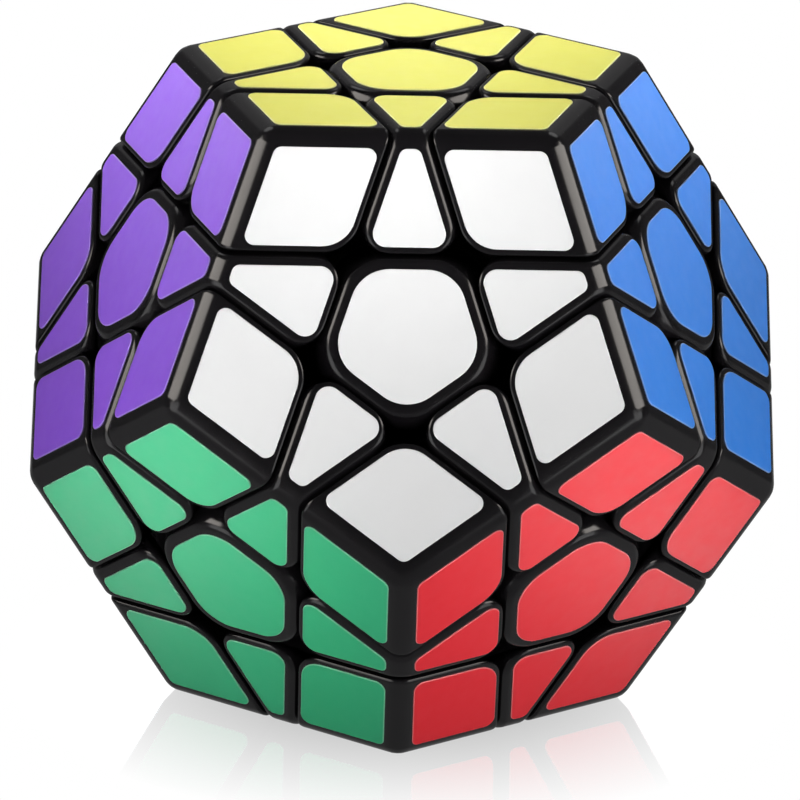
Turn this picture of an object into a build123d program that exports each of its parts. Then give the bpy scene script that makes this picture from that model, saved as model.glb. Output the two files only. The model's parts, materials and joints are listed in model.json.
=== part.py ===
"""Dodecahedron twisty puzzle: twelve turning faces on one core, 20 corners, 30 edges and 12 centres.

Millimetres. The origin is the middle of the core, where all twelve face axes meet. The puzzle stands on its
cream face, with the yellow face on top (+Z) and the white face leaning towards -Y.

Any face can turn, because its layer is parted from the rest by surfaces of revolution about its axis:
 - outside SHELF_R, a plane square to the axis;
 - between FOOT_R and SHELF_R, a cone of 50 degrees half-angle; the feet there reach under the neighbours;
 - inside FOOT_R, only the round flange of each centre, which keeps the feet from falling inwards.
"""

import math
import os
from itertools import combinations

from build123d import *

# --- Driving dimensions -------------------------------------------------------------------------------------
EDGE = 37.0  # the dodecahedron's sharp edge, from corner to corner
CUT_LINE = 9.64  # on a face, from its middle to the line where a neighbour's layer is parted
GAP = 0.4  # between neighbouring blocks
SHELF_R = 37.6  # the blocks run over the feet on this sphere
FOOT_R = 33.5  # the feet end inwards at this sphere
SHELF_PLAY = 0.15  # each side of either sphere
WALL = 1.3  # of a hollow shell
SHELL_BASE = 39.5  # where an edge or corner shell is closed by its foot
PLUG_PLAY = 0.05  # round the plug on a foot, in the mouth of its shell
PLUG_HIGH = 2.0
PLUG_WALL = 1.2
SOLE_WALL = 1.4  # round and over the pocket under each foot

# The feet: a corner's is round, an edge's is oblong. Both clear the cones between layers by 0.3.
CORNER_FOOT_R = 6.9
CORNER_NECK_R = 3.9
EDGE_FOOT = (19.6, 9.2)
EDGE_NECK = (14.4, 8.6)
FOOT_ROUND = 1.5
FOOT_DEEP = 10.0  # the plain prism each foot is cut from

# Rounding of the outer blocks
OUTER_FILLET = 3.0  # along the dodecahedron's own edges
CORNER_UPRIGHT = 5.4  # where two parting planes of a corner meet
EDGE_UPRIGHT = 2.7
CENTRE_UPRIGHT = 6.3
CORNER_RIM = 0.5  # round the facelets
EDGE_RIM = 0.6
CENTRE_RIM = 1.0
BLOCK_BASE = 30.0  # height at which each plain block starts, below its finished surfaces
RIM_REACH = 1.6  # a rim line runs no further than this from a parting plane

# Stickers: margins to the parting line and to the dodecahedron's sharp edge, and corner radii
STICKER = 0.15
STICKER_RIM = 2.1
STICKER_CORNER_GAP = 1.2
STICKER_EDGE_GAP = 1.25
STICKER_SIDE_GAP = 1.3
STICKER_CENTRE_GAP = 1.5
STICKER_SMALL_R = 1.2
STICKER_CORNER_R = 4.4
STICKER_EDGE_R = 1.7
STICKER_EDGE_END_R = 1.1
STICKER_CENTRE_R = 5.0

# Along each face axis, heights from the core's middle
CORE_BALL_R = 11.5
CORE_POST_R = 4.4
CORE_POST_TOP = 23.0
SCREW_TIP = 9.0
SCREW_R = 1.5
SCREW_HEAD_R = 3.1
SCREW_HEAD_HIGH = 2.0
RECESS_DEEP = 1.2
RECESS_WIDE = 0.9
RECESS_LONG = 3.8
SCREW_FIT = 0.05  # radial
WASHER_LOW = 34.6
WASHER_THICK = 0.6
WASHER_R = 3.9
SPRING_R = 3.0  # to the middle of the wire
SPRING_WIRE_R = 0.3
SPRING_TURNS = 4.5
FLOAT = 0.4  # a centre can be pulled out this far against its spring
SPRING_SLACK = FLOAT + 0.05  # a spring is drawn this short of its washer, to leave room for that
HUB_LOW = 23.3
HUB_BOSS_R = 5.9
HUB_POST_R = 8.0
POCKET_R = 4.4
POCKET_FLOOR = 28.6
BORE_LOW = 32.4  # above this the pocket widens to take the ring of the cap
FLANGE_R = 32.6  # outer sphere of a centre's flange
FLANGE_THICK = 1.7
FLANGE_CONE = 29.0  # half-angle
CAP_SEAT = 38.9  # where the cap rests on the hub
CAP_PLAY = 0.05
CAP_RING_R = 6.2
CAP_RING_WALL = 0.9
CAP_RING_LOW = 37.3

# --- Geometry of a regular dodecahedron ---------------------------------------------------------------------
GOLDEN = (1 + math.sqrt(5)) / 2
FACE_TILT = math.degrees(math.atan(2))  # between neighbouring face axes
EDGE_TILT = FACE_TILT / 2  # from the middle of an edge to the axes of its two faces
END_TILT = 90 - EDGE_TILT  # from the middle of an edge to the axes of the faces at its ends
CORNER_TILT = math.degrees(math.atan(2 / GOLDEN**2))  # from a corner to the axes of its three faces
FACE_R = EDGE * GOLDEN**2 / (2 * math.sqrt(3 - GOLDEN))  # from the core's middle to each face
FACE_INRADIUS = EDGE / (2 * math.tan(math.radians(36)))
CUT = FACE_R * math.cos(math.radians(FACE_TILT)) + CUT_LINE * math.sin(math.radians(FACE_TILT))
REACH = 2 * EDGE  # wider than any piece

UPPER_RING = {"white": -90, "blue": -18, "lime": 54, "orange": 126, "purple": 198}
LOWER_RING = {"green": -126, "red": -54, "pink": 18, "grey": 90, "sky": 162}
TURNING = ("yellow", "green", "pink")  # three faces that share no piece, so each can own its layer


def leaning(tilt, turn, distance=0.0):
    """The plane whose normal leans tilt degrees from +Z towards azimuth turn, at a distance from the origin."""
    normal = Vector(0, 0, 1).rotate(Axis.Y, tilt).rotate(Axis.Z, turn)
    downhill = Vector(1, 0, 0).rotate(Axis.Y, tilt).rotate(Axis.Z, turn)
    return Plane(origin=normal * distance, x_dir=downhill, z_dir=normal)


AXES = {"yellow": Vector(0, 0, 1)}
AXES.update({name: leaning(FACE_TILT, turn).z_dir for name, turn in UPPER_RING.items()})
AXES.update({name: leaning(180 - FACE_TILT, turn).z_dir for name, turn in LOWER_RING.items()})
AXES["cream"] = Vector(0, 0, -1)


def touching(names):
    """Do all these faces share an edge with each other?"""
    return all(AXES[one].get_angle(AXES[other]) < FACE_TILT + 1 for one, other in combinations(names, 2))


CENTRES = [(name,) for name in AXES]
EDGES = [names for names in combinations(AXES, 2) if touching(names)]
CORNERS = [names for names in combinations(AXES, 3) if touching(names)]


def body_of(names):
    """The turning layer that holds the piece between these faces, or the core."""
    return next((name for name in TURNING if name in names), "core")


def middle_of(names):
    return sum((AXES[name] for name in names), Vector()).normalized()


def upright_plane(z_dir, towards):
    """Through the origin, square to z_dir, with +X leaning towards another direction."""
    return Plane(origin=(0, 0, 0), x_dir=towards - z_dir * towards.dot(z_dir), z_dir=z_dir)


def seat(names):
    """Where a piece stands: +Z out through its middle, +X towards its first face (or a neighbouring one)."""
    neighbour = next(name for name in AXES if name not in names and touching((name, names[0])))
    towards = AXES[names[0]] if len(names) > 1 else AXES[neighbour]
    return upright_plane(middle_of(names), towards).location


def facelet_seat(face, names):
    """Where a piece's sticker lies: +Z out through the face, +X from the face's middle towards the piece."""
    if len(names) == 1:
        return seat(names)
    return upright_plane(AXES[face], middle_of(names)).location


# --- Outer blocks -------------------------------------------------------------------------------------------
CORNER_FACES = [(CORNER_TILT, turn) for turn in (0, 120, 240)]
EDGE_FACES = [(EDGE_TILT, 0), (EDGE_TILT, 180)]
EDGE_ENDS = [(END_TILT, 90), (END_TILT, -90)]
CENTRE_NEIGHBOURS = [(FACE_TILT, turn) for turn in range(0, 360, 72)]


def height_over(point, plane):
    return (point - plane.origin).dot(plane.z_dir)


def lies_on(edge, plane, tolerance=1e-4):
    return all(abs(height_over(edge @ along, plane)) < tolerance for along in (0, 0.5, 1))


def meeting_lines(part, planes):
    """The part's edges along which two of these planes meet."""
    return [edge for edge in part.edges() if sum(lies_on(edge, plane) for plane in planes) == 2]


def rim_lines(part, face_planes, partings):
    """The part's edges that lie on a face and run along a parting plane, or round between two of them."""
    found = []
    for edge in part.edges():
        on_a_face = any(lies_on(edge, plane) for plane in face_planes)
        nearest = min(abs(height_over(edge @ 0.5, plane)) for plane in partings)
        if on_a_face and nearest < RIM_REACH:
            found.append(edge)
    return found


def block(faces, inner, outer, upright, rim, inset=0.0):
    """A solid between its face planes, its own layers' parting planes (inner) and its neighbours' (outer).
    With an inset, it is the space inside the block's walls instead."""
    face_planes = [leaning(tilt, turn, FACE_R - inset) for tilt, turn in faces]
    inner_planes = [leaning(tilt, turn, CUT + GAP / 2 + inset) for tilt, turn in inner]
    outer_planes = [leaning(tilt, turn, CUT - GAP / 2 - inset) for tilt, turn in outer]
    partings = inner_planes + outer_planes
    with BuildPart() as solid:
        with Locations((0, 0, BLOCK_BASE)):
            Box(REACH, REACH, REACH, align=(Align.CENTER, Align.CENTER, Align.MIN))
        for plane in face_planes + outer_planes:
            split(bisect_by=plane, keep=Keep.BOTTOM)
        for plane in inner_planes:
            split(bisect_by=plane, keep=Keep.TOP)
        fillet(meeting_lines(solid.part, partings), upright - inset)
        if inset == 0:
            ridges = meeting_lines(solid.part, face_planes)
            if ridges:
                fillet(ridges, OUTER_FILLET)
            fillet(rim_lines(solid.part, face_planes, partings), rim)
    return solid.part


def corner_block(inset=0.0):
    return block(CORNER_FACES, CORNER_FACES, [], CORNER_UPRIGHT, CORNER_RIM, inset)


def edge_block(inset=0.0):
    return block(EDGE_FACES, EDGE_FACES, EDGE_ENDS, EDGE_UPRIGHT, EDGE_RIM, inset)


def centre_block():
    return block([(0, 0)], [], CENTRE_NEIGHBOURS, CENTRE_UPRIGHT, CENTRE_RIM)


def shell(whole, hollow):
    """The hollow outer part of a corner or an edge, open downwards at SHELL_BASE."""
    with BuildPart() as solid:
        add(whole)
        add(hollow, mode=Mode.SUBTRACT)
        split(bisect_by=Plane.XY.offset(SHELL_BASE), keep=Keep.TOP)
    return solid.part


def prism(outline, low, high):
    with BuildPart() as solid:
        with BuildSketch(Plane.XY.offset(low)):
            add(outline)
        extrude(amount=high - low)
    return solid.part


def oblong(size):
    with BuildSketch() as outline:
        RectangleRounded(*size, FOOT_ROUND)
    return outline.sketch


def disc(radius):
    with BuildSketch() as outline:
        Circle(radius)
    return outline.sketch


def inside_sphere(outline, radius):
    """An upright prism of this outline, from FOOT_DEEP under the feet out to a sphere."""
    with BuildPart() as solid:
        add(prism(outline, FOOT_R - FOOT_DEEP, SHELF_R))
        Sphere(radius, mode=Mode.INTERSECT)
    return solid.part


def base_of(whole):
    """The slice of a block between the sphere it runs on and its shell."""
    with BuildPart() as solid:
        add(whole)
        split(bisect_by=Plane.XY.offset(SHELL_BASE), keep=Keep.BOTTOM)
        Sphere(SHELF_R + SHELF_PLAY, mode=Mode.SUBTRACT)
    return solid.part


def plug_rim(outside, inside):
    """The rim on a foot that fits in the mouth of its shell."""
    with BuildPart() as solid:
        add(outside)
        add(inside, mode=Mode.SUBTRACT)
        split(bisect_by=Plane.XY.offset(SHELL_BASE + PLUG_HIGH), keep=Keep.BOTTOM)
        split(bisect_by=Plane.XY.offset(SHELL_BASE), keep=Keep.TOP)
    return solid.part


def foot(whole, rim, sole, pocket, neck):
    """The inner part of a corner or an edge: a hollow sole under the neighbours, a neck, a base and a rim."""
    with BuildPart() as solid:
        add(inside_sphere(sole, SHELF_R - SHELF_PLAY))
        Sphere(FOOT_R + SHELF_PLAY, mode=Mode.SUBTRACT)
        add(inside_sphere(pocket, SHELF_R - SHELF_PLAY - SOLE_WALL), mode=Mode.SUBTRACT)
        add(prism(neck, SHELF_R - SHELF_PLAY - SOLE_WALL / 2, SHELL_BASE))
        add(base_of(whole))
        add(rim)
    return solid.part


def corner_foot(whole):
    play = WALL + PLUG_PLAY
    rim = plug_rim(corner_block(play), corner_block(play + PLUG_WALL))
    sole, pocket, neck = [disc(r) for r in (CORNER_FOOT_R, CORNER_FOOT_R - SOLE_WALL, CORNER_NECK_R)]
    return foot(whole, rim, sole, pocket, neck)


def edge_foot(whole):
    play = WALL + PLUG_PLAY
    rim = plug_rim(edge_block(play), edge_block(play + PLUG_WALL))
    hollow = tuple(side - 2 * SOLE_WALL for side in EDGE_FOOT)
    sole, pocket, neck = [oblong(size) for size in (EDGE_FOOT, hollow, EDGE_NECK)]
    return foot(whole, rim, sole, pocket, neck)


# --- Stickers, drawn on the face, with +X from the face's middle towards the piece ---------------------------
def where_sides_meet(one, other):
    """The point where two straight sides meet; a side is the azimuth of its normal, and its distance."""
    (turn, distance), (other_turn, other_distance) = one, other
    sweep = math.radians(other_turn - turn)
    along = (other_distance - distance * math.cos(sweep)) / math.sin(sweep)
    return Vector(distance, along).rotate(Axis.Z, turn)


def sticker(sides, radii):
    """A thin vinyl label between straight sides, rounded where each side meets the next."""
    points = [where_sides_meet(side, sides[(i + 1) % len(sides)]) for i, side in enumerate(sides)]
    with BuildPart() as label:
        with BuildSketch(Plane.XY.offset(FACE_R)):
            with BuildLine():
                FilletPolyline(*points, radius=radii, close=True)
            make_face()
        extrude(amount=STICKER)
    return label.part


def corner_sticker():
    outside = FACE_INRADIUS - STICKER_RIM
    inside = -CUT_LINE - STICKER_CORNER_GAP
    sides = [(-36, outside), (36, outside), (144, inside), (216, inside)]
    return sticker(sides, [STICKER_SMALL_R, STICKER_SMALL_R, STICKER_CORNER_R, STICKER_SMALL_R])


def edge_sticker():
    flank = CUT_LINE - STICKER_SIDE_GAP
    sides = [
        (0, FACE_INRADIUS - STICKER_RIM),
        (72, flank),
        (180, -CUT_LINE - STICKER_EDGE_GAP),
        (288, flank),
    ]
    return sticker(sides, [STICKER_EDGE_END_R, STICKER_EDGE_R, STICKER_EDGE_R, STICKER_EDGE_END_R])


def centre_sticker():
    sides = [(turn, CUT_LINE - STICKER_CENTRE_GAP) for turn in range(0, 360, 72)]
    return sticker(sides, STICKER_CENTRE_R)


# --- What stands along each face axis, outwards from the core -------------------------------------------------
def core_part():
    with BuildPart() as core:
        Sphere(CORE_BALL_R)
        with Locations(*[seat(names) for names in CENTRES]):
            Cylinder(CORE_POST_R, CORE_POST_TOP, align=(Align.CENTER, Align.CENTER, Align.MIN))
        with Locations(*[seat(names) * Pos(0, 0, SCREW_TIP) for names in CENTRES]):
            Cylinder(
                SCREW_R + SCREW_FIT,
                CORE_POST_TOP,
                align=(Align.CENTER, Align.CENTER, Align.MIN),
                mode=Mode.SUBTRACT,
            )
    return core.part


def screw_part():
    """A pan-head screw with a cross recess, its shank left plain."""
    head_low = WASHER_LOW + WASHER_THICK
    head_top = head_low + SCREW_HEAD_HIGH
    with BuildPart() as screw:
        with BuildSketch(Plane.XY.offset(SCREW_TIP)):
            Circle(SCREW_R)
        extrude(amount=head_low - SCREW_TIP)
        chamfer(screw.edges().group_by(Axis.Z)[0], SCREW_R / 3)
        with BuildSketch(Plane.XY.offset(head_low)):
            Circle(SCREW_HEAD_R)
        extrude(amount=SCREW_HEAD_HIGH)
        fillet(screw.edges().group_by(Axis.Z)[-1], SCREW_HEAD_HIGH / 3)
        with BuildSketch(Plane.XY.offset(head_top)):
            Rectangle(RECESS_LONG, RECESS_WIDE)
            Rectangle(RECESS_WIDE, RECESS_LONG)
        extrude(amount=-RECESS_DEEP, mode=Mode.SUBTRACT)
    return screw.part


def washer_part():
    with BuildPart() as washer:
        with BuildSketch(Plane.XY.offset(WASHER_LOW)):
            Circle(WASHER_R)
            Circle(SCREW_R + SCREW_FIT, mode=Mode.SUBTRACT)
        extrude(amount=WASHER_THICK)
    return washer.part


def spring_part():
    """A compression spring that stands on the floor of the hub's pocket and ends short of the washer."""
    low = POCKET_FLOOR + SPRING_WIRE_R
    height = WASHER_LOW - SPRING_SLACK - SPRING_WIRE_R - low
    with BuildPart() as spring:
        with BuildLine():
            coil = Helix(pitch=height / SPRING_TURNS, height=height, radius=SPRING_R, center=(0, 0, low))
        with BuildSketch(Plane(origin=coil @ 0, z_dir=coil % 0)):
            Circle(SPRING_WIRE_R)
        sweep()
    return spring.part


def hub_part():
    """The post of a centre: a boss round the screw, a flange under the feet and a seat for the cap."""
    with BuildPart() as hub:
        Sphere(FLANGE_R)
        Sphere(FLANGE_R - FLANGE_THICK, mode=Mode.SUBTRACT)
        Cone(
            bottom_radius=0,
            top_radius=REACH * math.tan(math.radians(FLANGE_CONE)),
            height=REACH,
            align=(Align.CENTER, Align.CENTER, Align.MIN),
            mode=Mode.INTERSECT,
        )
        with BuildSketch(Plane.XY.offset(FLANGE_R - FLANGE_THICK)):
            Circle(HUB_POST_R)
        extrude(amount=CAP_SEAT - FLANGE_R + FLANGE_THICK)
        with BuildSketch(Plane.XY.offset(HUB_LOW)):
            Circle(HUB_BOSS_R)
        extrude(amount=FLANGE_R - HUB_LOW)
        with BuildSketch(Plane.XY.offset(HUB_LOW)):
            Circle(SCREW_R + SCREW_FIT)
        extrude(amount=FLANGE_R, mode=Mode.SUBTRACT)
        with BuildSketch(Plane.XY.offset(POCKET_FLOOR)):
            Circle(POCKET_R)
        extrude(amount=FLANGE_R, mode=Mode.SUBTRACT)
        with BuildSketch(Plane.XY.offset(BORE_LOW)):
            Circle(CAP_RING_R)
        extrude(amount=FLANGE_R, mode=Mode.SUBTRACT)
    return hub.part


def cap_part():
    """The pentagon in the middle of a face, with a pocket that fits over its hub and a ring that plugs it."""
    ring_r = CAP_RING_R - CAP_PLAY
    with BuildPart() as cap:
        add(centre_block())
        Sphere(SHELF_R + SHELF_PLAY, mode=Mode.SUBTRACT)
        with BuildSketch(Plane.XY.offset(CAP_SEAT)):
            Circle(HUB_POST_R + CAP_PLAY)
        extrude(amount=-CAP_SEAT / 2, mode=Mode.SUBTRACT)
        with BuildSketch(Plane.XY.offset(CAP_SEAT)):
            Circle(ring_r)
            Circle(ring_r - CAP_RING_WALL, mode=Mode.SUBTRACT)
        extrude(amount=CAP_RING_LOW - CAP_SEAT)
    return cap.part


# --- Placing and writing the nodes --------------------------------------------------------------------------
def write(name, piece, locations):
    """One STEP file with a copy of the piece at each location."""
    with BuildPart() as node:
        with Locations(*locations):
            add(piece)
    node.part.label = name
    export_step(node.part, f"parts/{name}.step")


def write_joined(name, groups):
    """One STEP file with several kinds of piece, each (piece, locations)."""
    with BuildPart() as node:
        for piece, locations in groups:
            if locations:
                with Locations(*locations):
                    add(piece)
    node.part.label = name
    export_step(node.part, f"parts/{name}.step")


def seats(pieces, body):
    return [seat(names) for names in pieces if body_of(names) == body]


def sticker_seats(pieces, body, face):
    """Where the stickers of one colour lie on the pieces of one body."""
    return [facelet_seat(face, names) for names in pieces if face in names and body_of(names) == body]


def write_body(body, prefix, templates):
    """The moulded pieces of one layer, or of the core, and their stickers colour by colour."""
    plural = "s" if body == "core" else ""
    write(f"{prefix}centre_cap{plural}", templates["cap"], seats(CENTRES, body))
    write(f"{prefix}centre_hub{plural}", templates["hub"], seats(CENTRES, body))
    write(f"{prefix}centre_spring{plural}", templates["spring"], seats(CENTRES, body))
    write(f"{prefix}edge_shells", templates["edge_shell"], seats(EDGES, body))
    write(f"{prefix}corner_shells", templates["corner_shell"], seats(CORNERS, body))
    feet = [(templates["edge_foot"], seats(EDGES, body)), (templates["corner_foot"], seats(CORNERS, body))]
    write_joined(f"{prefix}feet", feet)
    for face in AXES:
        groups = [
            (templates["corner_sticker"], sticker_seats(CORNERS, body, face)),
            (templates["edge_sticker"], sticker_seats(EDGES, body, face)),
        ]
        centre = (templates["centre_sticker"], sticker_seats(CENTRES, body, face))
        if face == body:
            write_joined(f"{prefix}centre_sticker", [centre])
        else:
            groups.append(centre)
        if any(locations for _, locations in groups):
            write_joined(f"{prefix}{face}_stickers", groups)


os.makedirs("parts", exist_ok=True)
everywhere = [seat(names) for names in CENTRES]
corner, edge = corner_block(), edge_block()
pieces = {
    "cap": cap_part(),
    "hub": hub_part(),
    "spring": spring_part(),
    "corner_shell": shell(corner, corner_block(WALL)),
    "edge_shell": shell(edge, edge_block(WALL)),
    "corner_foot": corner_foot(corner),
    "edge_foot": edge_foot(edge),
    "corner_sticker": corner_sticker(),
    "edge_sticker": edge_sticker(),
    "centre_sticker": centre_sticker(),
}

write("core", core_part(), [Location()])
write("centre_screws", screw_part(), everywhere)
write("screw_washers", washer_part(), everywhere)
write_body("core", "fixed_", pieces)
for layer in TURNING:
    write_body(layer, f"{layer}_layer_", pieces)
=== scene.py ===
"""The look of a dodecahedron twisty puzzle: rounded black shells, vinyl stickers and the works inside.

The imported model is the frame. Each shell, cap and sticker node of it is replaced by a finer piece, built here
from the same planes; the inner parts keep their CAD meshes and get materials. The pieces are worked out in
millimetres and scaled as they are placed. The stage, the lights and the camera are in metres.
"""

import json
import math
from itertools import combinations

import bmesh
import bpy
from mathutils import Matrix, Vector

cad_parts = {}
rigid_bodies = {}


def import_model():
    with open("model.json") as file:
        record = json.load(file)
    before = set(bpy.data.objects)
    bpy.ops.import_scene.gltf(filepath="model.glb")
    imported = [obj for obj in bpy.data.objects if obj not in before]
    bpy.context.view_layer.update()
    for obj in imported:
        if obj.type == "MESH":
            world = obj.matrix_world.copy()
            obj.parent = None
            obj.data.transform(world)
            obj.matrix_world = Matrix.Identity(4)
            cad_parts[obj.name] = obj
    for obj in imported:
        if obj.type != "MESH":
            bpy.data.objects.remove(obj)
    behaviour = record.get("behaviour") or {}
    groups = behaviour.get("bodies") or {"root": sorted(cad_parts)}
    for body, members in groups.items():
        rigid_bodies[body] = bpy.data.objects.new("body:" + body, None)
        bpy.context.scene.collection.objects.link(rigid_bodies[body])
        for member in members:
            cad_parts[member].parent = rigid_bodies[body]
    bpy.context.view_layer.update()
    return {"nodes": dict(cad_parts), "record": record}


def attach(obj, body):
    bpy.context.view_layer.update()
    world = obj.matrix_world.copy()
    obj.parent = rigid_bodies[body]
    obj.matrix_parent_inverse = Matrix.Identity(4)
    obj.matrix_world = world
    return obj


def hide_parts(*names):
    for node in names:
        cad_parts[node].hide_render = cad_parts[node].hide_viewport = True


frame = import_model()
MM = 0.001

# --- Shape: the same driving dimensions as the CAD, in millimetres ------------------------------------------
EDGE = 37.0
CUT_LINE = 9.64
GAP = 0.4
SHELL_BASE = 39.5
CAP_BASE = 36.7
GOLDEN = (1 + math.sqrt(5)) / 2
FACE_TILT = math.atan(2)
EDGE_TILT = FACE_TILT / 2
END_TILT = math.pi / 2 - EDGE_TILT
CORNER_TILT = math.atan(2 / GOLDEN**2)
FACE_R = EDGE * GOLDEN**2 / (2 * math.sqrt(3 - GOLDEN))
FACE_INRADIUS = EDGE / (2 * math.tan(math.pi / 5))
CUT = FACE_R * math.cos(FACE_TILT) + CUT_LINE * math.sin(FACE_TILT)
FIFTH = 2 * math.pi / 5
NEAR = 1e-3  # two measures closer than this are the same

OUTER_ROUND = 3.0  # radius along the dodecahedron's own edges
CORNER_UPRIGHT = 5.4
EDGE_UPRIGHT = 2.7
CENTRE_UPRIGHT = 6.3
CORNER_RIM = 0.80  # setback of the rim's rounding, not its radius
EDGE_RIM = 0.70
CENTRE_RIM = 0.65
UPRIGHT_STEPS = 10
OUTER_STEPS = 10
RIM_STEPS = 5

STICKER = 0.15
STICKER_LIP = 0.11  # how far the cut edge slopes in from the outline
STICKER_RIM = 2.1
STICKER_CORNER_GAP = 1.2
STICKER_EDGE_GAP = 1.25
STICKER_SIDE_GAP = 1.3
STICKER_CENTRE_GAP = 1.5
STICKER_SMALL_R = 1.2
STICKER_CORNER_R = 4.4
STICKER_EDGE_R = 1.7
STICKER_EDGE_END_R = 1.1
STICKER_CENTRE_R = 5.0
STICKER_STEPS = 10
STICKER_LIP_STEPS = 3

UPPER_RING = {"white": -90, "blue": -18, "lime": 54, "orange": 126, "purple": 198}
LOWER_RING = {"green": -126, "red": -54, "pink": 18, "grey": 90, "sky": 162}
TURNING = ("yellow", "green", "pink")


def direction(tilt, turn):
    """A unit vector leaning from +Z by tilt, towards azimuth turn; both in radians."""
    return Vector((math.sin(tilt) * math.cos(turn), math.sin(tilt) * math.sin(turn), math.cos(tilt)))


AXES = {"yellow": Vector((0, 0, 1))}
AXES.update({name: direction(FACE_TILT, math.radians(turn)) for name, turn in UPPER_RING.items()})
AXES.update({name: direction(math.pi - FACE_TILT, math.radians(turn)) for name, turn in LOWER_RING.items()})
AXES["cream"] = Vector((0, 0, -1))


def touching(names):
    """Do all these faces share an edge with each other?"""
    least = math.cos(FACE_TILT) - NEAR
    return all(AXES[one].dot(AXES[other]) > least for one, other in combinations(names, 2))


CENTRES = [(name,) for name in AXES]
EDGES = [names for names in combinations(AXES, 2) if touching(names)]
CORNERS = [names for names in combinations(AXES, 3) if touching(names)]


def layer_of(names):
    """The turning layer that holds the piece between these faces, or the fixed rest."""
    return next((f"{name}_layer" for name in TURNING if name in names), "fixed")


def middle_of(names):
    """The direction of a piece's middle: of a face, of an edge or of a corner."""
    return sum((AXES[name] for name in names), Vector()).normalized()


def turned(z_dir, towards):
    """The rotation that takes +Z to z_dir and leans +X towards another direction."""
    x_dir = (towards - z_dir * towards.dot(z_dir)).normalized()
    return Matrix((x_dir, z_dir.cross(x_dir), z_dir)).transposed().to_4x4()


def seat(names):
    """The rotation that takes a block's template to the piece between these faces."""
    neighbour = next(name for name in AXES if name not in names and touching((name, names[0])))
    return turned(middle_of(names), AXES[names[0]] if len(names) > 1 else AXES[neighbour])


def facelet_seat(face, names):
    """The rotation that takes a sticker's template to this face of a piece."""
    return seat(names) if len(names) == 1 else turned(AXES[face], middle_of(names))


# --- Blocks -------------------------------------------------------------------------------------------------
SIDE, TOP = 0, 1  # face tags while a block is built
LIP = 1  # material index of a sticker's cut edge
LIP_STEEPNESS = 0.9  # a sticker's faces whose normals rise less than this are its cut edge


def cut(bm, normal, distance, keep_above, tag):
    """Cuts the solid along a plane and closes it with a face."""
    parts = bm.verts[:] + bm.edges[:] + bm.faces[:]
    made = bmesh.ops.bisect_plane(
        bm,
        geom=parts,
        plane_co=normal * distance,
        plane_no=normal,
        clear_outer=not keep_above,
        clear_inner=keep_above,
    )
    lines = [part for part in made["geom_cut"] if isinstance(part, bmesh.types.BMEdge)]
    for closed in bmesh.ops.contextual_create(bm, geom=lines)["faces"]:
        closed.material_index = tag


def round_off(bm, lines, setback, steps, tag):
    """Rounds edges off, starting this far back from each on both its faces."""
    bmesh.ops.bevel(
        bm,
        geom=lines,
        offset=setback,
        offset_type="OFFSET",
        segments=steps,
        profile=0.5,
        affect="EDGES",
        clamp_overlap=False,
        material=tag,
    )


def on_two(line, planes):
    """Does this edge run along two of these planes, each (normal, distance)?"""
    ends = [vert.co for vert in line.verts]
    held = [all(abs(end.dot(normal) - distance) < NEAR for end in ends) for normal, distance in planes]
    return sum(held) == 2


def block(base, faces, inner, outer, upright, rim):
    """A rounded solid: below its faces, above its own layers' parting planes, below its neighbours'."""
    bm = bmesh.new()
    bmesh.ops.create_cube(bm, size=4 * EDGE)
    tops = [(normal, FACE_R) for normal in faces]
    sides = [(normal, CUT + GAP / 2) for normal in inner] + [(normal, CUT - GAP / 2) for normal in outer]
    cut(bm, Vector((0, 0, 1)), base, True, SIDE)
    for normal, distance in tops:
        cut(bm, normal, distance, False, TOP)
    for normal, distance in sides:
        cut(bm, normal, distance, normal in inner, SIDE)
    blunt = math.tan((math.pi - FACE_TILT) / 2)  # a radius over its setback, where two like planes meet
    sharp = math.tan(FACE_TILT / 2)  # the same, where an inner and an outer parting plane meet
    uprights = [line for line in bm.edges if on_two(line, sides)]
    round_off(bm, uprights, upright / (sharp if inner and outer else blunt), UPRIGHT_STEPS, SIDE)
    ridges = [line for line in bm.edges if on_two(line, tops)]
    if ridges:
        round_off(bm, ridges, OUTER_ROUND / blunt, OUTER_STEPS, TOP)
    rims = [line for line in bm.edges if len({face.material_index for face in line.link_faces}) == 2]
    round_off(bm, rims, rim, RIM_STEPS, SIDE)
    for face in bm.faces:
        face.material_index = 0
        face.smooth = True
    bmesh.ops.recalc_face_normals(bm, faces=bm.faces[:])
    return bm


def corner_block():
    faces = [direction(CORNER_TILT, turn * 2 * math.pi / 3) for turn in range(3)]
    return block(SHELL_BASE, faces, faces, [], CORNER_UPRIGHT, CORNER_RIM)


def edge_block():
    faces = [direction(EDGE_TILT, turn) for turn in (0, math.pi)]
    ends = [direction(END_TILT, turn) for turn in (math.pi / 2, -math.pi / 2)]
    return block(SHELL_BASE, faces, faces, ends, EDGE_UPRIGHT, EDGE_RIM)


def centre_block():
    neighbours = [direction(FACE_TILT, turn * FIFTH) for turn in range(5)]
    return block(CAP_BASE, [Vector((0, 0, 1))], [], neighbours, CENTRE_UPRIGHT, CENTRE_RIM)


# --- Stickers -----------------------------------------------------------------------------------------------
def where_sides_meet(one, other):
    """The corner between two sides of an outline."""
    (turn, distance), (other_turn, other_distance) = one, other
    sweep = other_turn - turn
    along = (other_distance - distance * math.cos(sweep)) / math.sin(sweep)
    return Matrix.Rotation(turn, 2) @ Vector((distance, along))


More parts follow.
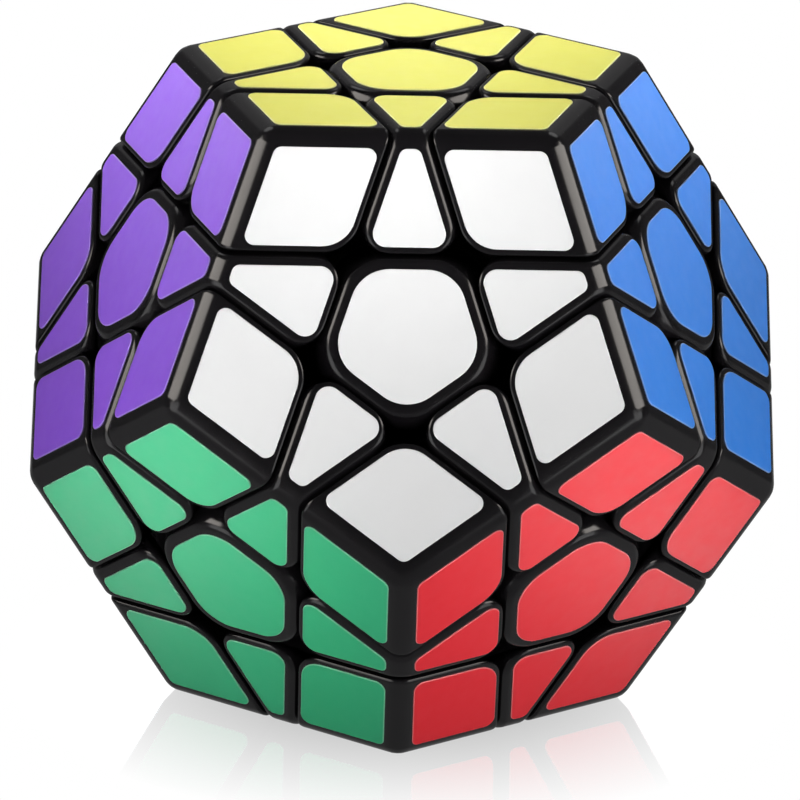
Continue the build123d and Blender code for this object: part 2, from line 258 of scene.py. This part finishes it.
def rounded_outline(sides, radii):
    """Points round a polygon whose corners are arcs. Each side is (azimuth of its normal, its distance)."""
    outline = []
    for i, radius in enumerate(radii):
        side, following = sides[i], sides[(i + 1) % len(sides)]
        sweep = (following[0] - side[0]) % (2 * math.pi)
        shrunk = [(turn, distance - radius) for turn, distance in (side, following)]
        centre = where_sides_meet(*shrunk)
        for step in range(STICKER_STEPS + 1):
            turn = side[0] + sweep * step / STICKER_STEPS
            outline.append(centre + radius * Vector((math.cos(turn), math.sin(turn))))
    return outline


def sticker(sides, radii):
    """A vinyl label lying on a face, with its upper edge softened."""
    bm = bmesh.new()
    verts = [bm.verts.new((point.x, point.y, FACE_R)) for point in rounded_outline(sides, radii)]
    lower = bm.faces.new(verts)
    raised = bmesh.ops.extrude_face_region(bm, geom=[lower], use_keep_orig=True)
    moved = [part for part in raised["geom"] if isinstance(part, bmesh.types.BMVert)]
    bmesh.ops.translate(bm, verts=moved, vec=(0, 0, STICKER))
    lip = [line for line in bm.edges if all(vert.co.z > FACE_R + STICKER / 2 for vert in line.verts)]
    round_off(bm, lip, STICKER_LIP, STICKER_LIP_STEPS, LIP)
    bmesh.ops.recalc_face_normals(bm, faces=bm.faces[:])
    for face in bm.faces:
        face.smooth = True
        if abs(face.normal.z) < LIP_STEEPNESS:
            face.material_index = LIP
    return bm


def corner_sticker():
    outside = FACE_INRADIUS - STICKER_RIM
    inside = -CUT_LINE - STICKER_CORNER_GAP
    tenth = FIFTH / 2
    sides = [(-tenth, outside), (tenth, outside), (math.pi - tenth, inside), (math.pi + tenth, inside)]
    return sticker(sides, [STICKER_SMALL_R, STICKER_SMALL_R, STICKER_CORNER_R, STICKER_SMALL_R])


def edge_sticker():
    flank = CUT_LINE - STICKER_SIDE_GAP
    outside = FACE_INRADIUS - STICKER_RIM
    sides = [(0, outside), (FIFTH, flank), (math.pi, -CUT_LINE - STICKER_EDGE_GAP), (-FIFTH, flank)]
    return sticker(sides, [STICKER_EDGE_END_R, STICKER_EDGE_R, STICKER_EDGE_R, STICKER_EDGE_END_R])


def centre_sticker():
    sides = [(turn * FIFTH, CUT_LINE - STICKER_CENTRE_GAP) for turn in range(5)]
    return sticker(sides, [STICKER_CENTRE_R] * 5)


# --- Materials ----------------------------------------------------------------------------------------------
PLASTIC_IOR = 1.42
VINYL_MOTTLE = 0.985  # the deeper of a film's two tones, as a share of its colour
CUT_WHITE = 0.95  # a film's cut edge is this share of the way to this white
CUT_SHARE = 0.2


def new_material(name):
    """A material with its Principled shader, and object coordinates in metres."""
    material = bpy.data.materials.new(name)
    material.use_nodes = True
    nodes = material.node_tree.nodes
    coords = nodes.new("ShaderNodeTexCoord")
    return material, nodes, material.node_tree.links, nodes["Principled BSDF"], coords.outputs["Object"]


def noise(nodes, links, coords, scale, detail=3.0):
    node = nodes.new("ShaderNodeTexNoise")
    node.inputs["Scale"].default_value = scale
    node.inputs["Detail"].default_value = detail
    links.new(coords, node.inputs["Vector"])
    return node.outputs["Fac"]


def spread(nodes, links, source, low, high):
    """Maps the middle of a noise to a range."""
    node = nodes.new("ShaderNodeMapRange")
    node.inputs["From Min"].default_value = 0.3
    node.inputs["From Max"].default_value = 0.7
    node.inputs["To Min"].default_value = low
    node.inputs["To Max"].default_value = high
    links.new(source, node.inputs["Value"])
    return node.outputs["Result"]


def two_tones(nodes, links, factor, first, second):
    node = nodes.new("ShaderNodeMix")
    node.data_type = "RGBA"
    node.inputs["A"].default_value = (*first, 1)
    node.inputs["B"].default_value = (*second, 1)
    links.new(factor, node.inputs["Factor"])
    return node.outputs["Result"]


def cloudy_colour(nodes, links, coords, shader, scale, first, second):
    cloud = spread(nodes, links, noise(nodes, links, coords, scale), 0, 1)
    links.new(two_tones(nodes, links, cloud, first, second), shader.inputs["Base Color"])


def uneven_roughness(nodes, links, coords, shader, scale, low, high):
    patches = spread(nodes, links, noise(nodes, links, coords, scale), low, high)
    links.new(patches, shader.inputs["Roughness"])


def fine_grain(nodes, links, coords, shader, scale, depth):
    node = nodes.new("ShaderNodeBump")
    node.inputs["Distance"].default_value = depth
    links.new(noise(nodes, links, coords, scale, detail=2.0), node.inputs["Height"])
    links.new(node.outputs["Normal"], shader.inputs["Normal"])


def black_plastic():
    """Nearly black and fairly glossy, with a very fine moulded grain."""
    material, nodes, links, shader, coords = new_material("black_abs")
    dark, light = (0.0045, 0.0040, 0.0048), (0.0070, 0.0062, 0.0070)
    cloudy_colour(nodes, links, coords, shader, 140, dark, light)
    uneven_roughness(nodes, links, coords, shader, 420, low=0.15, high=0.21)
    shader.inputs["IOR"].default_value = PLASTIC_IOR
    fine_grain(nodes, links, coords, shader, 5200, depth=0.000004)
    return material


def vinyl(name, colour):
    """Coloured film with a faint mottle, a satin face and the slight ripple of a label laid by hand."""
    material, nodes, links, shader, coords = new_material(name)
    deeper = tuple(value * VINYL_MOTTLE for value in colour)
    cloudy_colour(nodes, links, coords, shader, 260, deeper, colour)
    uneven_roughness(nodes, links, coords, shader, 600, low=0.42, high=0.50)
    shader.inputs["IOR"].default_value = PLASTIC_IOR
    fine_grain(nodes, links, coords, shader, 900, depth=0.000003)
    return material


def whitened(colour):
    """A paler colour for a sticker's sloped cut edge, a share of the way to white."""
    return [value + (CUT_WHITE - value) * CUT_SHARE for value in colour]


def inner_plastic():
    """The duller black of the core and the hubs."""
    material, nodes, links, shader, coords = new_material("inner_moulding")
    dark, light = (0.010, 0.010, 0.010), (0.018, 0.018, 0.018)
    cloudy_colour(nodes, links, coords, shader, 180, dark, light)
    uneven_roughness(nodes, links, coords, shader, 900, low=0.36, high=0.5)
    fine_grain(nodes, links, coords, shader, 3800, depth=0.000006)
    return material


def zinc_steel():
    """The screws, washers and springs."""
    material, nodes, links, shader, coords = new_material("zinc_steel")
    dark, light = (0.50, 0.51, 0.53), (0.66, 0.66, 0.67)
    cloudy_colour(nodes, links, coords, shader, 500, dark, light)
    shader.inputs["Metallic"].default_value = 1.0
    uneven_roughness(nodes, links, coords, shader, 2400, low=0.22, high=0.36)
    fine_grain(nodes, links, coords, shader, 6000, depth=0.000003)
    return material


COLOURS = {
    "yellow": (0.87, 0.835, 0.145),
    "white": (0.80, 0.80, 0.80),
    "blue": (0.008, 0.20, 0.75),
    "lime": (0.27, 0.57, 0.05),
    "orange": (0.80, 0.155, 0.012),
    "purple": (0.26, 0.075, 0.74),
    "green": (0.035, 0.58, 0.26),
    "red": (0.86, 0.018, 0.033),
    "pink": (0.88, 0.26, 0.42),
    "grey": (0.30, 0.31, 0.33),
    "sky": (0.22, 0.58, 0.80),
    "cream": (0.84, 0.76, 0.48),
}
VINYLS = {name: vinyl(f"{name}_vinyl", colour) for name, colour in COLOURS.items()}
CUT_EDGES = {name: vinyl(f"{name}_vinyl_cut_edge", whitened(colour)) for name, colour in COLOURS.items()}
BLACK = black_plastic()
INNER = inner_plastic()
STEEL = zinc_steel()
TEMPLATES = {
    "cap": centre_block(),
    "edge": edge_block(),
    "corner": corner_block(),
    "centre_sticker": centre_sticker(),
    "edge_sticker": edge_sticker(),
    "corner_sticker": corner_sticker(),
}
BODY_OF_NODE = {
    node: body for body, nodes in frame["record"]["behaviour"]["bodies"].items() for node in nodes
}


# --- Pieces -------------------------------------------------------------------------------------------------
def piece(node, copies, materials):
    """One object in place of a CAD node: a copy of each template at each seat."""
    joined = bmesh.new()
    for template, seats in copies:
        for place in seats:
            part = TEMPLATES[template].copy()
            bmesh.ops.transform(part, matrix=Matrix.Scale(MM, 4) @ place, verts=part.verts[:])
            mesh = bpy.data.meshes.new("part")
            part.to_mesh(mesh)
            part.free()
            joined.from_mesh(mesh)
            bpy.data.meshes.remove(mesh)
    mesh = bpy.data.meshes.new(node)
    joined.to_mesh(mesh)
    joined.free()
    for material in materials:
        mesh.materials.append(material)
    obj = bpy.data.objects.new(f"{node}_finished", mesh)
    bpy.context.scene.collection.objects.link(obj)
    weights = obj.modifiers.new("flat faces stay flat", "WEIGHTED_NORMAL")
    weights.weight = 100  # the large faces decide
    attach(obj, BODY_OF_NODE[node])
    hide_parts(node)
    return obj


def on_layer(names_list, layer):
    """Those of the pieces that this layer holds."""
    return [names for names in names_list if layer_of(names) == layer]


def sticker_copies(layer, face, kinds):
    """The stickers of one colour on one layer: (template, seats) for each kind of piece."""
    return [
        (template, [facelet_seat(face, names) for names in on_layer(names_list, layer) if face in names])
        for template, names_list in kinds
    ]


def build_layer(layer):
    """The caps, shells and stickers of one turning layer, or of the fixed rest."""
    plural = "s" if layer == "fixed" else ""
    seats = {
        "cap": [seat(names) for names in on_layer(CENTRES, layer)],
        "edge": [seat(names) for names in on_layer(EDGES, layer)],
        "corner": [seat(names) for names in on_layer(CORNERS, layer)],
    }
    piece(f"{layer}_centre_cap{plural}", [("cap", seats["cap"])], [BLACK])
    piece(f"{layer}_edge_shells", [("edge", seats["edge"])], [BLACK])
    piece(f"{layer}_corner_shells", [("corner", seats["corner"])], [BLACK])
    outer_kinds = [("corner_sticker", CORNERS), ("edge_sticker", EDGES)]
    centre_kind = [("centre_sticker", CENTRES)]
    for face in AXES:
        own = layer == f"{face}_layer"
        film = [VINYLS[face], CUT_EDGES[face]]
        copies = sticker_copies(layer, face, outer_kinds if own else outer_kinds + centre_kind)
        if any(seats for _, seats in copies):
            piece(f"{layer}_{face}_stickers", copies, film)
        if own:
            centre = sticker_copies(layer, face, centre_kind)
            piece(f"{layer}_centre_sticker", centre, film)


def finish_inner_parts():
    """The works inside keep their CAD meshes."""
    for name, obj in frame["nodes"].items():
        if obj.hide_render:
            continue
        if "spring" in name or "screw" in name:
            material = STEEL
        elif "hub" in name or name == "core":
            material = INNER
        else:
            material = BLACK
        for material_slot in obj.material_slots:
            material_slot.material = material


for layer in ("fixed", *(f"{name}_layer" for name in TURNING)):
    build_layer(layer)
finish_inner_parts()


# --- Stage, lights and camera: metres, watts ----------------------------------------------------------------
FLOOR_Z = -(FACE_R + STICKER + 0.02) * MM  # a hair under the lowest stickers
CAMERA_TURN = math.radians(-0.69)
CAMERA_HEIGHT = math.radians(19.92)
CAMERA_ROLL = math.radians(1.3)
CAMERA_DISTANCE = 1.081
CAMERA_LENS = 374.5
AIM_LOW = 3.5 * MM  # the camera aims this far under the puzzle's middle
AIM_LEFT = 0.4 * MM
MIRROR_NEAR = 0.024  # the floor's mirror image fades between these distances from its middle
MIRROR_FAR = 0.052
MIRROR_STRENGTH = 0.40
MIRROR_ROUGHNESS = 0.03
FLOOR_REACH = 6.0  # from its middle to its sides
DOME_R = 5.4
ROOM_LIGHT = 0.075
LAMP = (0.03, 0.03)  # across and up
SIDE_LAMPS = {-1: (0.034, 0.0075, 0.0150, 0.02), 1: (0.026, 0.0055, 0.0098, 0.32)}  # crown, brow, cheek, wash
BOARDS = 8
BOARD_TILT = math.radians(70)
BOARD_WIDTH = 1.1
BOARD_HEIGHT = 0.7
BOARD_DISTANCE = 1.2


def stage_piece(name, bm, material):
    """A piece of the stage, which only the camera sees."""
    mesh = bpy.data.meshes.new(name)
    bm.to_mesh(mesh)
    bm.free()
    mesh.materials.append(material)
    obj = bpy.data.objects.new(name, mesh)
    obj.location.z = FLOOR_Z
    obj.visible_diffuse = False
    obj.visible_glossy = False
    obj.visible_shadow = False
    bpy.context.scene.collection.objects.link(obj)
    return obj


def stage_material(name):
    """A material with no shader yet, its nodes, its links, and where its shader goes."""
    material = bpy.data.materials.new(name)
    material.use_nodes = True
    nodes = material.node_tree.nodes
    nodes.remove(nodes["Principled BSDF"])
    return material, nodes, material.node_tree.links, nodes["Material Output"].inputs["Surface"]


def backdrop():
    """A white dome round the puzzle, so that no horizon shows from low down."""
    material, nodes, links, surface = stage_material("white_backdrop")
    glow = nodes.new("ShaderNodeEmission")
    links.new(glow.outputs["Emission"], surface)
    bm = bmesh.new()
    bmesh.ops.create_icosphere(bm, subdivisions=4, radius=DOME_R)
    return stage_piece("backdrop", bm, material)


def mix(nodes, links, factor, first, second):
    node = nodes.new("ShaderNodeMixShader")
    links.new(factor, node.inputs["Fac"])
    links.new(first, node.inputs[1])
    links.new(second, node.inputs[2])
    return node.outputs["Shader"]


def floor():
    """White, with a mirror image of the puzzle that fades away from its foot; clear from underneath."""
    material, nodes, links, surface = stage_material("white_floor")
    coords = nodes.new("ShaderNodeTexCoord")
    distance = nodes.new("ShaderNodeVectorMath")
    distance.operation = "LENGTH"
    links.new(coords.outputs["Object"], distance.inputs[0])
    fade = nodes.new("ShaderNodeMapRange")
    fade.inputs["From Min"].default_value = MIRROR_NEAR
    fade.inputs["From Max"].default_value = MIRROR_FAR
    fade.inputs["To Min"].default_value = MIRROR_STRENGTH
    fade.inputs["To Max"].default_value = 0.0
    links.new(distance.outputs["Value"], fade.inputs["Value"])
    glow = nodes.new("ShaderNodeEmission")
    mirror = nodes.new("ShaderNodeBsdfGlossy")
    mirror.inputs["Color"].default_value = (1, 1, 1, 1)
    mirror.inputs["Roughness"].default_value = MIRROR_ROUGHNESS
    above = mix(nodes, links, fade.outputs["Result"], glow.outputs["Emission"], mirror.outputs["BSDF"])
    side = nodes.new("ShaderNodeNewGeometry")
    clear = nodes.new("ShaderNodeBsdfTransparent")
    links.new(mix(nodes, links, side.outputs["Backfacing"], above, clear.outputs["BSDF"]), surface)
    bm = bmesh.new()
    bmesh.ops.create_grid(bm, x_segments=1, y_segments=1, size=FLOOR_REACH)
    return stage_piece("floor", bm, material)


def softbox(name, place, size, power, aim=(0, 0, 0), beam=180, colours=True, gloss=True):
    """A rectangular light with a beam this wide in degrees, for the colours, for the gloss or for both."""
    light = bpy.data.lights.new(name, "AREA")
    light.spread = math.radians(beam)
    light.shape = "RECTANGLE"
    light.size, light.size_y = size
    light.energy = power
    obj = bpy.data.objects.new(name, light)
    obj.location = place
    obj.rotation_euler = (Vector(aim) - Vector(place)).to_track_quat("-Z", "Y").to_euler()
    obj.visible_camera = False
    obj.visible_diffuse = colours
    obj.visible_glossy = gloss
    bpy.context.scene.collection.objects.link(obj)
    return obj


def white_surround(ground):
    """Boards all round, which only the floor sees, so that it mirrors white beside the puzzle."""
    only_floor = bpy.data.collections.new("floor only")
    only_floor.objects.link(ground)
    power = math.pi * BOARD_WIDTH * BOARD_HEIGHT  # as bright as the floor
    for i in range(BOARDS):
        place = direction(BOARD_TILT, i * 2 * math.pi / BOARDS) * BOARD_DISTANCE
        board = softbox(f"board_{i}", place, (BOARD_WIDTH, BOARD_HEIGHT), power)
        board.light_linking.receiver_collection = only_floor


def room_light(strength):
    """The same faint white from all round."""
    world = bpy.data.worlds.new("studio")
    world.use_nodes = True
    background = world.node_tree.nodes["Background"]
    background.inputs["Color"].default_value = (1, 1, 1, 1)
    background.inputs["Strength"].default_value = strength
    bpy.context.scene.world = world


def camera():
    """Looks at the white face from a little above, from far off."""
    data = bpy.data.cameras.new("camera")
    data.lens = CAMERA_LENS
    data.sensor_width = 36
    data.clip_end = 20
    obj = bpy.data.objects.new("camera", data)
    back = direction(math.pi / 2 - CAMERA_HEIGHT, CAMERA_TURN - math.pi / 2)
    facing = back.to_track_quat("Z", "Y").to_matrix() @ Matrix.Rotation(CAMERA_ROLL, 3, "Z")
    target = facing @ Vector((-AIM_LEFT, -AIM_LOW, 0))
    obj.matrix_world = Matrix.Translation(back * CAMERA_DISTANCE + target) @ facing.to_4x4()
    bpy.context.scene.collection.objects.link(obj)
    bpy.context.scene.camera = obj


def light_the_colours():
    """Lights that shade the stickers from top to bottom; the black plastic doesn't mirror them."""
    top = (0, 0, 0.05)
    for side, (crown, brow, cheek, wash) in SIDE_LAMPS.items():
        low = (0.03 * side, -0.02, 0)
        softbox(f"crown_{side}", (0.09 * side, 0.10, 0.08), LAMP, crown, top, 60, gloss=False)
        softbox(f"brow_{side}", (0.06 * side, -0.16, 0.08), LAMP, brow, top, 40, gloss=False)
        softbox(f"cheek_{side}", (0.09 * side, -0.20, 0), LAMP, cheek, low, 40, gloss=False)
        softbox(f"wash_{side}", (0.25 * side, -0.20, 0), (0.05, 0.05), wash, low, gloss=False)
        softbox(f"rear_{side}", (0.24 * side, 0.22, 0.02), (0.08, 0.08), 0.30, gloss=False)
    softbox("rear", (0, 0.34, 0), (0.08, 0.08), 0.60, gloss=False)


def light_the_film():
    """Beams that only the stickers mirror: the top face's far side and the tops of the others turn paler."""
    only_film = bpy.data.collections.new("film only")
    for obj in bpy.context.scene.objects:
        if obj.name.endswith(("stickers_finished", "sticker_finished")):
            only_film.objects.link(obj)
    beams = [softbox("sheen", (0, 0.14, 0.09), LAMP, 0.0009, (0, 0.04, 0.041), 50, colours=False)]
    for side in (-1, 1):
        high_place, high_aim = (0.17 * side, 0.13, 0.10), (0.035 * side, 0, 0.04)
        low_place, low_aim = (0.10 * side, 0, -0.10), (0.028 * side, -0.045, 0.005)
        beams += [
            softbox(f"high_sheen_{side}", high_place, LAMP, 0.0095, high_aim, 40, colours=False),
            softbox(f"low_sheen_{side}", low_place, LAMP, 0.0013, low_aim, 45, colours=False),
        ]
    for beam in beams:
        beam.light_linking.receiver_collection = only_film


def light_the_gloss():
    """Strips that draw a soft line along each side ridge, and a faint glow on what faces forward."""
    for side in (-1, 1):
        strip = softbox(f"strip_{side}", (0.31 * side, -0.075, 0.20), (0.30, 0.14), 0.85, colours=False)
        strip.data.color = (1.0, 0.94, 0.88)  # a little warm
        softbox(f"glow_{side}", (0.25 * side, -0.20, 0), (0.20, 0.20), 0.25, colours=False)
    softbox("under", (0, 0, -0.06), (0.6, 0.6), 0.20, colours=False)
    softbox("behind", (0, 0.60, 0.20), (0.7, 0.3), 0.13, colours=False)


def light_from_behind():
    """High lights behind the puzzle, for the colours and the gloss alike."""
    for side in (-1, 1):
        softbox(f"back_{side}", (0.12 * side, 0.20, 0.28), (0.12, 0.12), 0.06)


backdrop()
white_surround(floor())
room_light(ROOM_LIGHT)
light_the_colours()
light_the_gloss()
light_the_film()
light_from_behind()
camera()
bpy.context.scene.view_settings.view_transform = "Standard"
